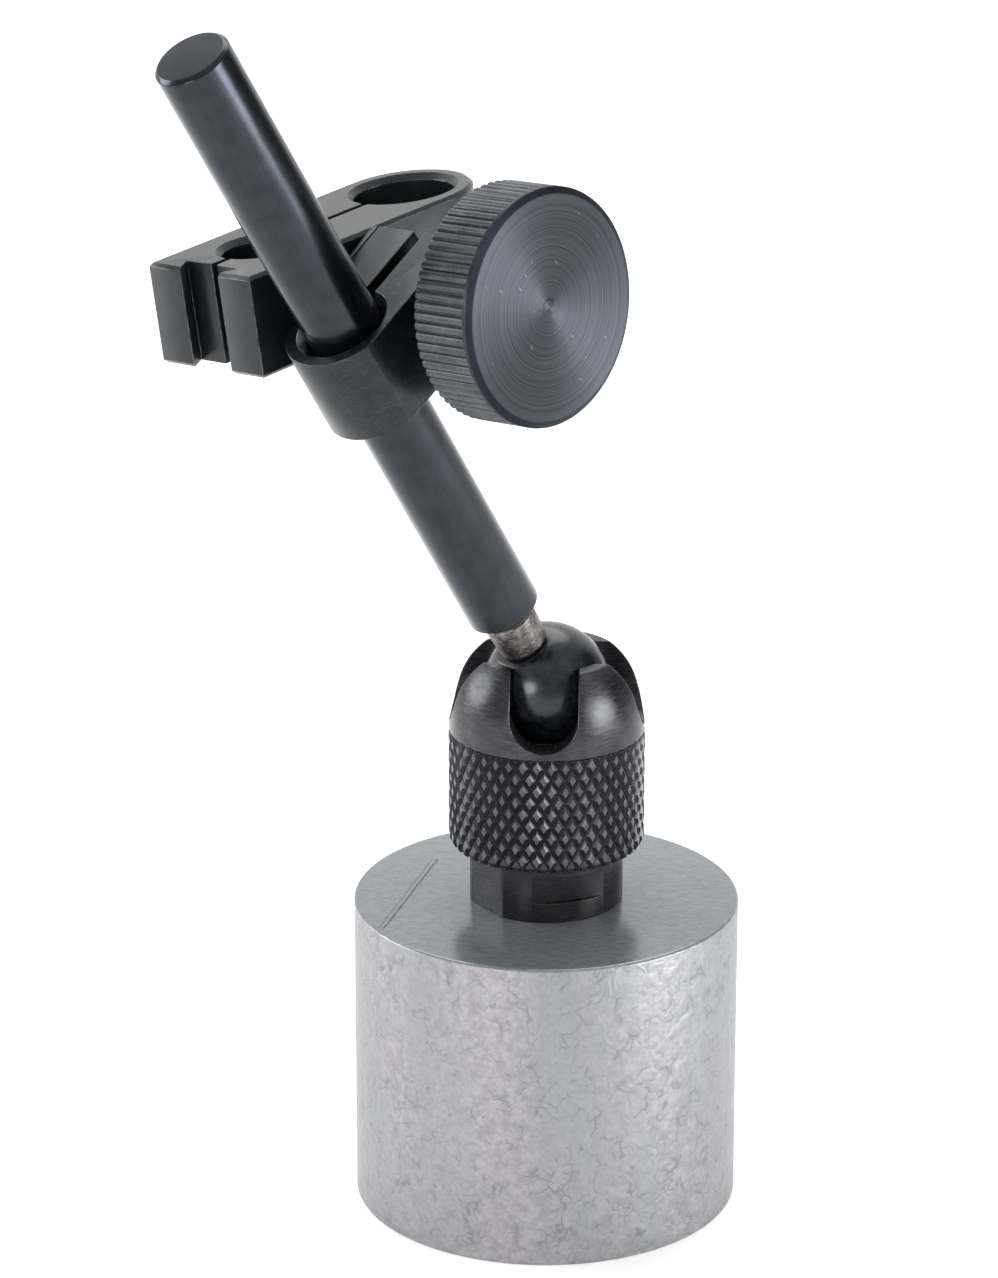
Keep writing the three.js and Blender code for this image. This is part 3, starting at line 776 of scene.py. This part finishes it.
# Split clamp on the rod
clampSettings = {
    "height": 7.8, "half": 4.35, "front": 4.75, "reach": 10.5, "bore": 3.2, "boreChamfer": 0.6, "slit": 1.1,
    "screw": (0, 7.75, 0.45), "screwHole": 2.2, "edge": 0.14,
    "finish": dict(
        blackSettings, dark=(0.0165, 0.0190, 0.0215), light=(0.025, 0.0285, 0.032), worn=(0.31, 0.32, 0.34),
        grainStretch=(1, 1, 5), grainTone=0.08, speckTone=0.05, smoothest=0.28, roughest=0.4, bumpStrength=0.07,
        # A strong edge tone: a painted highlight along the clamp's rims, with some wear
        edgeWearAndHighlight=1.0, edgeWidth=0.13, coat=0.15,
    ),
}


# A cutter for a bore along Z, flared at both ends
def chamferedHole(radius, half, chamfer):
    profile = [
        (0, -half - 1), (radius + chamfer + 1, -half - 1), (radius, -half + chamfer),
        (radius, half - chamfer), (radius + chamfer + 1, half + 1), (0, half + 1),
    ]
    return turned("cutter", profile, 96)


# A cutter for a round hole along X
def crossHole(radius, low, high, place=(0, 0, 0)):
    hole = turned("cutter", [(0, low), (radius, low), (radius, high), (0, high)], 64)
    return moved(hole, Matrix.Translation(place) @ alongX)


def makeClamp(settings):
    half, front, reach = settings["half"], settings["front"], settings["reach"]
    tall = settings["height"] / 2
    corner = math.degrees(math.acos(half / front))
    outline = [(half, reach), (-half, reach)] + arc((0, 0), front, 180 + corner, 360 - corner, 72)
    clamp = plate("split_clamp", outline, -tall, tall)
    slit = settings["slit"] / 2
    cutters = [
        chamferedHole(settings["bore"], tall, settings["boreChamfer"]),
        box("cutter", (-slit, 0, -tall - 1), (slit, reach + 1, tall + 1)),
        crossHole(settings["screwHole"], -half - 1, half + 1, settings["screw"]),
    ]
    cut(clamp, cutters)
    bevelled(clamp, settings["edge"], 50)
    material = steelMaterial("clampOxide", settings["finish"])
    return finishPiece(clamp, clampPlace, "clamp", ["rod_clamp"], material)


makeClamp(clampSettings)
print("stage: rod clamp made")

# Friction washer between the clamp and the bar
washerSettings = {
    "thick": 0.5, "half": 2.7, "low": -4.35, "top": 3.45, "place": -4.75, "hole": 2.2, "edge": 0.06,
    "finish": dict(
        blackSettings, dark=(0.04, 0.042, 0.045), light=(0.08, 0.08, 0.085), grainStretch=(1, 5, 1),
        smoothest=0.3, roughest=0.45, metallic=0.95,
    ),
}


def makeWasher(settings):
    thin, half = settings["thick"] / 2, settings["half"]
    washer = box("thin_washer", (-thin, -half, settings["low"]), (thin, half, settings["top"]))
    cut(washer, [crossHole(settings["hole"], -1, 1)])
    bevelled(washer, settings["edge"], 50, 2)
    material = steelMaterial("washerSteel", settings["finish"])
    place = screwPlace @ Matrix.Translation((settings["place"], 0, 0))
    return finishPiece(washer, place, "clamp", ["friction_washer"], material)


makeWasher(washerSettings)
print("stage: washer made")

# Indicator bar: split, with two stem holes and a dovetail groove in its square end
barSettings = {
    "half": 5.6, "thick": 4.075, "near": 12.55, "large": 4.05, "largeAt": 10.35, "small": 3.05, "smallAt": -5.85,
    "holeChamfer": 0.48, "slit": 0.6, "mouth": 2.05, "floor": 3.03, "depth": 1.7, "screwHole": 2.2, "tapped": 2.1,
    "edge": 0.3, "fine": 0.1,
    "finish": dict(
        blackSettings, dark=(0.0065, 0.0082, 0.0100), light=(0.011, 0.0135, 0.016), worn=(0.20, 0.22, 0.235),
        grainStretch=(5, 5, 0.5), grainScale=2.2, grainTone=0.06, speckTone=0.06, smoothest=0.3, roughest=0.4,
        # A strong edge tone: a painted highlight along the bar's rims, with some wear
        bumpStrength=0.08, edgeWidth=0.14, metallic=0.5, coat=0.22, edgeWearAndHighlight=1.0,
    ),
}


# The bar is made flat, with its holes along Z and its square end at the near side
def makeBar(settings):
    half, thick, near = settings["half"], settings["thick"], settings["near"]
    outline = [(-half, -near), (half, -near)] + arc((0, settings["largeAt"]), half, 0, 180, 96)
    bar = rimmedPlate("indicator_arm", outline, thick, settings["edge"])
    mouth, floor, grooveEnd = settings["mouth"], settings["floor"], settings["depth"] - near
    groove = [
        (-mouth, -near - 1), (mouth, -near - 1), (mouth, -near),
        (floor, grooveEnd), (-floor, grooveEnd), (-mouth, -near),
    ]
    cutters = []
    for radius, place in ((settings["large"], settings["largeAt"]), (settings["small"], settings["smallAt"])):
        hole = chamferedHole(radius, thick, settings["holeChamfer"])
        cutters.append(moved(hole, Matrix.Translation((0, place, 0))))
    slit = settings["slit"] / 2
    cutters += [
        plate("cutter", groove, -thick - 1, thick + 1),
        box("cutter", (-slit, -near - 1, -thick - 1), (slit, settings["largeAt"], thick + 1)),
        crossHole(settings["screwHole"], 0, half + 1),
        crossHole(settings["tapped"], -half - 1, 0.1),
    ]
    cut(bar, cutters)
    bevelled(bar, settings["fine"], 62, 2)
    material = steelMaterial("barOxide", settings["finish"])
    return finishPiece(bar, barPlace, "bar", ["indicator_bar"], material)


makeBar(barSettings)
print("stage: indicator bar made")

# Thumb screw: a ribbed disc knob on its shank
knobSettings = {
    "radius": 9.0, "ringRadius": 9.17, "ringDepth": 0.62, "back": 8.35, "face": 14.0, "bevel": 0.5,
    "bevelDepth": 0.3, "backBevel": 0.3, "dish": 0.3,
    "nub": 0.7, "hub": 4.2, "hubStart": 4.5, "shank": 1.95, "shankEnd": -16.05, "segments": 192,
    "ringDark": (0.027, 0.030, 0.036), "ringLight": (0.078, 0.086, 0.102), "band": (0.080, 0.088, 0.103),
    "nick": (0.24, 0.26, 0.28), "rimDark": (0.035, 0.038, 0.043), "rimLight": (0.065, 0.070, 0.078),
    # The bevel tone is painted shade
    "bevelShade": (0.017, 0.018, 0.028), "worn": (0.22, 0.23, 0.25), "ringRough": (0.36, 0.48),
}
ribSettings = {
    "Facets Round": 72, "Rows": 1, "Radius": 8.96, "Foot Radius": 8.96, "Foot Height": 0.0, "Full Height": 1.0,
    "First Row": 10.95, "Row Spacing": 1.0, "Facet Width": 0.72, "Facet Height": 4.86, "Facet Depth": 0.22,
    "Unevenness": 0.08, "Seed": 7,
}
ribFinish = dict(
    blackSettings, dark=(0.045, 0.049, 0.056), light=(0.075, 0.081, 0.090), worn=(0.26, 0.27, 0.29),
    grainStretch=(1, 1, 3), smoothest=0.3, roughest=0.42, metallic=0.9, edgeWearAndHighlight=0.9,
)


# The dished face has turned rings, soft bands and a few nicks; its bevel has painted shade, darker and bluer than the
# rim, and its edges a painted highlight
def knobMaterial(settings):
    material, tree, surface, place = startMaterial("knobOxide")
    axes, reach = placeParts(tree, place)
    wobble = mathNode(tree, "MULTIPLY", noise(tree, place, 0.35, 2, 0.5), 0.25)
    ring = noise(tree, mathNode(tree, "ADD", reach, wobble), 7.0, 6, 0.75, dimensions="1D")
    band = noise(tree, reach, 0.9, 3, 0.6, dimensions="1D")
    nicks = noise(tree, stretched(tree, place, (0.6, 1.5, 1)), 1.1, 3, 0.7)
    faceTone = blend(tree, ramp(tree, ring, 0.3, 0.7), settings["ringDark"], settings["ringLight"])
    faceTone = blend(tree, ramp(tree, band, 0.4, 0.7, 0, 0.3), faceTone, settings["band"])
    faceTone = blend(tree, ramp(tree, nicks, 0.675, 0.72, 0, 0.5), faceTone, settings["nick"])

    grain = noise(tree, stretched(tree, place, (1, 1, 4)), 3.0, 4, 0.6)
    rimTone = blend(tree, ramp(tree, grain, 0.35, 0.7), settings["rimDark"], settings["rimLight"])
    bevelFoot = settings["face"] - settings["bevelDepth"]
    onBevel = ramp(tree, axes[2], bevelFoot - 0.02, bevelFoot + 0.02)
    # Painted shade: the bevel ring is coloured darker and bluer than the rim
    rimTone = blend(tree, onBevel, rimTone, settings["bevelShade"])

    dishFloor = settings["face"] - settings["dish"]
    onFace = ramp(tree, axes[2], dishFloor - 0.15, dishFloor)
    faceReach = settings["ringRadius"] - settings["bevel"]
    share = mathNode(tree, "MULTIPLY", onFace, ramp(tree, reach, faceReach + 0.02, faceReach - 0.08))
    edge, rounded = edgeShare(tree, 0.12)
    tone = blend(tree, share, rimTone, faceTone)
    # Painted highlight: the edges are lightened towards the worn colour as a bright rim line
    tone = blend(tree, mathNode(tree, "MULTIPLY", edge, 0.55), tone, settings["worn"])
    roughness = ramp(tree, ring, 0.3, 0.7, *settings["ringRough"])
    relief = bumped(tree, mathNode(tree, "MULTIPLY", ring, share), 0.5, 0.03, rounded)
    finishSurface(tree, surface, tone, roughness, relief, {"Metallic": 0.92})
    turnedGrain(tree, surface, 0.97, 0.25)
    return material


def makeKnob(settings):
    radius, ring, back, face = settings["radius"], settings["ringRadius"], settings["back"], settings["face"]
    shank, shankEnd = settings["shank"], settings["shankEnd"]
    hub, hubStart = settings["hub"], settings["hubStart"]
    inner = ring - settings["bevel"]
    corners = [
        (0, shankEnd), (shank - 0.3, shankEnd, 0.05), (shank, shankEnd + 0.3, 0.05), (shank, hubStart),
        (hub, hubStart, 0.15), (hub, back, 0.2),
        (radius - settings["backBevel"], back, 0.15), (radius, back + settings["backBevel"], 0.15),
        (radius, face - settings["ringDepth"] - 0.1), (ring, face - settings["ringDepth"], 0.05),
        (ring, face - settings["bevelDepth"], 0.06), (inner, face, 0.06),
    ]
    dishSteps = 25
    for step in range(1, dishSteps):
        share = 1 - step / dishSteps
        if inner * share > settings["nub"]:
            corners.append((inner * share, face - settings["dish"] * (1 - share**2)))
    floor = face - settings["dish"]
    corners += [(settings["nub"], floor, 0.1), (settings["nub"] * 0.7, floor + 0.12, 0.1), (0, floor + 0.16)]
    knob = turned("screw_knob", softened(corners, False), settings["segments"])
    return finishPiece(knob, screwPlace @ alongX, "screw", ["thumb_screw"], knobMaterial(settings))


def makeRibs(settings, finish):
    material = steelMaterial("ribOxide", finish)

    def ribShape(tree, given):
        bar = addNode(tree, "GeometryNodeMeshCylinder", {"Vertices": 12, "Radius": 1.0, "Depth": 2.0}).outputs["Mesh"]
        lying = addNode(tree, "GeometryNodeTransform", {"Geometry": bar, "Rotation": (math.pi / 2, 0, 0)})
        return lying.outputs[0]

    group = facetGroup("knobRibs", settings, ribShape)
    ribs = facetedPiece("knob_ribs", group, settings, material)
    return finishPiece(ribs, screwPlace @ alongX, "screw", [], material, sharpAngle=50)


makeKnob(knobSettings)
makeRibs(ribSettings, ribFinish)
print("stage: thumb screw made")

# Inner pieces keep their CAD shape and get their own finish
innerSettings = {
    "magnet_core": dict(dark=(0.20, 0.19, 0.18), light=(0.32, 0.31, 0.30), worn=(0.5, 0.5, 0.5), cloudScale=0.4),
    "spacer_ring": dict(dark=(0.38, 0.26, 0.10), light=(0.55, 0.40, 0.18), worn=(0.75, 0.62, 0.35), cloudScale=0.5),
    "base_stud": dict(dark=(0.20, 0.20, 0.20), light=(0.34, 0.34, 0.34), worn=(0.6, 0.6, 0.6), cloudScale=0.8),
    "ball_seat": dict(dark=(0.02, 0.021, 0.023), light=(0.035, 0.037, 0.04), worn=(0.10, 0.10, 0.11), cloudScale=0.8),
}


def dressInner(name, tones):
    finish = dict(blackSettings, grainStretch=(1, 1, 1), grainScale=3, smoothest=0.35, roughest=0.55, **tones)
    material = steelMaterial(name + "Finish", finish, stored=False)
    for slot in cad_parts[name].material_slots:
        slot.material = material


for innerName, innerTones in innerSettings.items():
    dressInner(innerName, innerTones)
print("stage: inner pieces dressed")

# Floor, light and camera
stageSettings = {
    "floorTones": ((0.94, 0.94, 0.94), (0.9212, 0.9212, 0.9212)), "floorGlow": 0.2, "floorReach": 6,
    "front": 0.44, "back": 1.1, "above": 0.8, "right": 0.1,
}
lightSettings = [
    {"name": "leftLamp", "place": (-0.47, 0.10, 0.21), "size": (0.32, 0.28), "power": 1.5},
    {"name": "frontLamp", "place": (-0.318, -0.509, 0.16), "size": (0.24, 0.22), "power": 1.2},
    {"name": "rightLamp", "place": (0.455, -0.185, 0.13), "size": (0.28, 0.26), "power": 2.3},
    {"name": "topLamp", "place": (0.0, 0.35, 0.60), "size": (0.60, 0.50), "power": 2.2},
]
cameraSettings = {"place": (-0.003872, -0.37068, 0.18101), "tilt": 70.288, "lens": 137.68, "sensor": 36}


def makeFloor(settings):
    reach = settings["floorReach"]
    floor = box("pale_floor", (-reach, -reach, -0.02), (reach, reach, 0))
    material = bpy.data.materials.new("paleFloor")
    material.use_nodes = True
    tree = material.node_tree
    surface = tree.nodes["Principled BSDF"]
    place = addNode(tree, "ShaderNodeTexCoord").outputs["Object"]
    tone = blend(tree, noise(tree, place, 4, 2, 0.5), *settings["floorTones"])
    tree.links.new(tone, surface.inputs["Base Color"])
    surface.inputs["Roughness"].default_value = 0.7
    surface.inputs["Emission Color"].default_value = (1, 1, 1, 1)
    surface.inputs["Emission Strength"].default_value = settings["floorGlow"]
    floor.data.materials.append(material)


def makeLight(settings):
    data = bpy.data.lights.new(settings["name"], "AREA")
    data.shape = "ELLIPSE"
    data.size, data.size_y = settings["size"]
    data.energy = settings["power"]
    light = addObject(settings["name"], data)
    light.location = settings["place"]
    aim = Vector((0, 0, 0.05)) - light.location
    light.rotation_euler = aim.to_track_quat("-Z", "Y").to_euler()


# The sky is dimmer in front and dark on the right, which the black pieces and the knob's face mirror
def makeWorld(settings):
    world = bpy.data.worlds.new("studio")
    world.use_nodes = True
    tree = world.node_tree
    toward = addNode(tree, "ShaderNodeTexCoord").outputs["Generated"]
    axes = addNode(tree, "ShaderNodeSeparateXYZ", {0: toward}).outputs
    level = ramp(tree, axes[1], -0.6, 0.6, settings["front"], settings["back"])
    right = ramp(tree, axes[0], 0.5, 0.8, 1.0, settings["right"])
    level = mathNode(tree, "MULTIPLY", level, right)
    high = ramp(tree, axes[2], 0.45, 0.9)
    tree.links.new(mixNumbers(tree, high, level, settings["above"]), tree.nodes["Background"].inputs[1])
    tree.nodes["Background"].inputs[0].default_value = (1, 1, 1, 1)
    bpy.context.scene.world = world


def makeCamera(settings):
    data = bpy.data.cameras.new("camera")
    data.sensor_width = settings["sensor"]
    data.lens = settings["lens"]
    data.clip_start = 0.01
    camera = addObject("camera", data)
    camera.location = settings["place"]
    camera.rotation_euler = (math.radians(settings["tilt"]), 0, 0)
    bpy.context.scene.camera = camera


makeFloor(stageSettings)
makeWorld(stageSettings)
for lamp in lightSettings:
    makeLight(lamp)
makeCamera(cameraSettings)
bpy.context.scene.view_settings.view_transform = "Standard"
print("stage: light and camera set")
